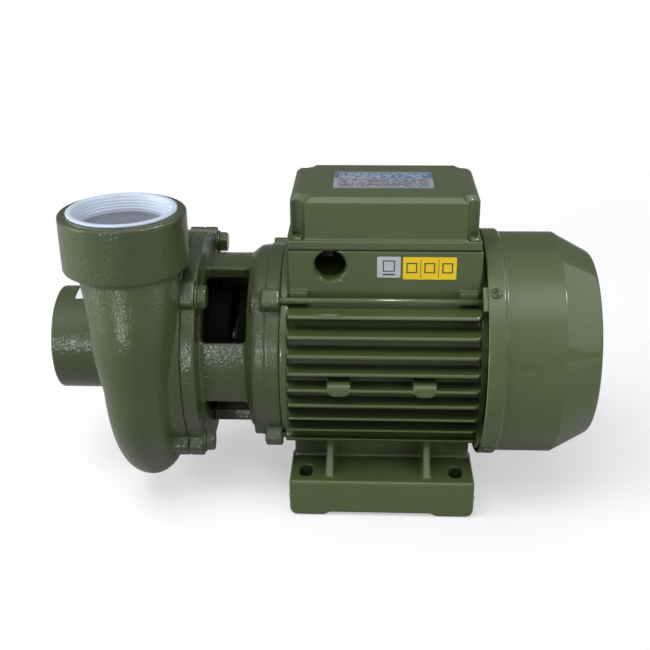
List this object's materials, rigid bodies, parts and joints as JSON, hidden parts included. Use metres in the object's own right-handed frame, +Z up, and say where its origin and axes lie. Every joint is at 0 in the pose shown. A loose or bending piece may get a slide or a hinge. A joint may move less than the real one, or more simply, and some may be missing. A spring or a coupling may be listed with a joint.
{
  "type": "centrifugal water pump",
  "caption": "Close-coupled centrifugal water pump: volute with side-mounted upward discharge, open lantern bracket and finned foot-mounted motor with terminal box and fan cover.",
  "frame": {"origin": "centre of the suction port's face, on the shaft axis", "axes": "+X along the shaft from the suction face to the fan, +Y away from the discharge side, +Z up; the feet stand on z = -0.1 m"},
  "size_m": [0.3595, 0.1795, 0.2138],
  "materials": {
    "cast_iron_paint": "gloss olive green paint on sand-cast iron",
    "frame_paint": "gloss olive green paint on die-cast aluminium",
    "sheet_paint": "gloss olive green paint on pressed steel",
    "fastener_paint": "gloss olive green paint on steel fasteners",
    "plug_plastic": "white moulded plastic",
    "label_white": "blank white film",
    "label_grey": "blank grey film",
    "label_yellow": "blank yellow film",
    "plate": "printed aluminium foil",
    "zinc_steel": "zinc plated steel",
    "bright_steel": "ground steel",
    "turned_steel": "turned steel",
    "laminations": "stacked electrical sheet",
    "copper": "varnished copper wire",
    "brass": "brass",
    "raw_aluminium": "as cast",
    "black_rubber": "moulded rubber",
    "red_cable": "cable insulation",
    "fan_plastic": "black moulded plastic",
    "board_plastic": "phenolic",
    "capacitor_plastic": "moulded can",
    "carbon": "lapped carbon",
    "ceramic": "lapped alumina"
  },
  "bodies": {
    "housing": {"pump_casing": "cast_iron_paint", "casing_o_ring": "black_rubber", "pump_bracket": "cast_iron_paint", "casing_bolts": "fastener_paint", "casing_bolt_washers": "fastener_paint", "suction_label": "label_white", "seal_seat": "ceramic", "seal_seat_cup": "black_rubber", "stator_core": "laminations", "stator_winding": "copper", "motor_leads": "red_cable", "front_bearing_outer": "bright_steel", "rear_bearing_outer": "bright_steel", "wave_washer": "turned_steel", "motor_frame": "frame_paint", "rear_end_shield": "frame_paint", "tie_bolts": "fastener_paint", "fan_cover": "sheet_paint", "fan_cover_screws": "fastener_paint", "terminal_box_lid": "frame_paint", "lid_gasket": "black_rubber", "lid_screws": "fastener_paint", "rating_plate": "plate", "box_label_grey": "label_grey", "box_label_yellow": "label_yellow", "terminal_board": "board_plastic", "terminal_studs": "brass", "terminal_nuts": "brass", "capacitor": "capacitor_plastic", "capacitor_clamp": "zinc_steel", "capacitor_clamp_screws": "zinc_steel", "earth_screw": "brass"},
    "rotor": {"shaft": "turned_steel", "rotor_core": "laminations", "rotor_cage": "raw_aluminium", "impeller": "brass", "impeller_key": "turned_steel", "impeller_washer": "zinc_steel", "impeller_nut": "brass", "seal_face_ring": "carbon", "seal_bellows": "black_rubber", "seal_spring": "bright_steel", "seal_drive_collar": "turned_steel", "slinger": "black_rubber", "front_bearing_inner": "bright_steel", "rear_bearing_inner": "bright_steel", "cooling_fan": "fan_plastic", "fan_retaining_ring": "turned_steel"},
    "front_cage": {"front_bearing_balls": "bright_steel", "front_bearing_cage": "brass"},
    "rear_cage": {"rear_bearing_balls": "bright_steel", "rear_bearing_cage": "brass"},
    "plug": {"outlet_plug": "plug_plastic"}
  },
  "joints": [
    {"name": "rotor_spin", "type": "hinge", "parent": "housing", "child": "rotor", "pos_m": [0.22, 0, 0], "axis": [-1, 0, 0], "continuous": true},
    {"name": "front_cage_spin", "type": "hinge", "parent": "housing", "child": "front_cage", "pos_m": [0.135, 0, 0], "axis": [-1, 0, 0], "continuous": true},
    {"name": "rear_cage_spin", "type": "hinge", "parent": "housing", "child": "rear_cage", "pos_m": [0.29, 0, 0], "axis": [-1, 0, 0], "continuous": true},
    {"name": "outlet_plug_slide", "type": "slide", "parent": "housing", "child": "plug", "axis": [0, 0, 1], "range_m": [0, 0.1]}
  ],
  "couplings": [
    {"joint": "front_cage_spin", "follows": "rotor_spin", "ratio": 0.3815},
    {"joint": "rear_cage_spin", "follows": "rotor_spin", "ratio": 0.3814}
  ]
}
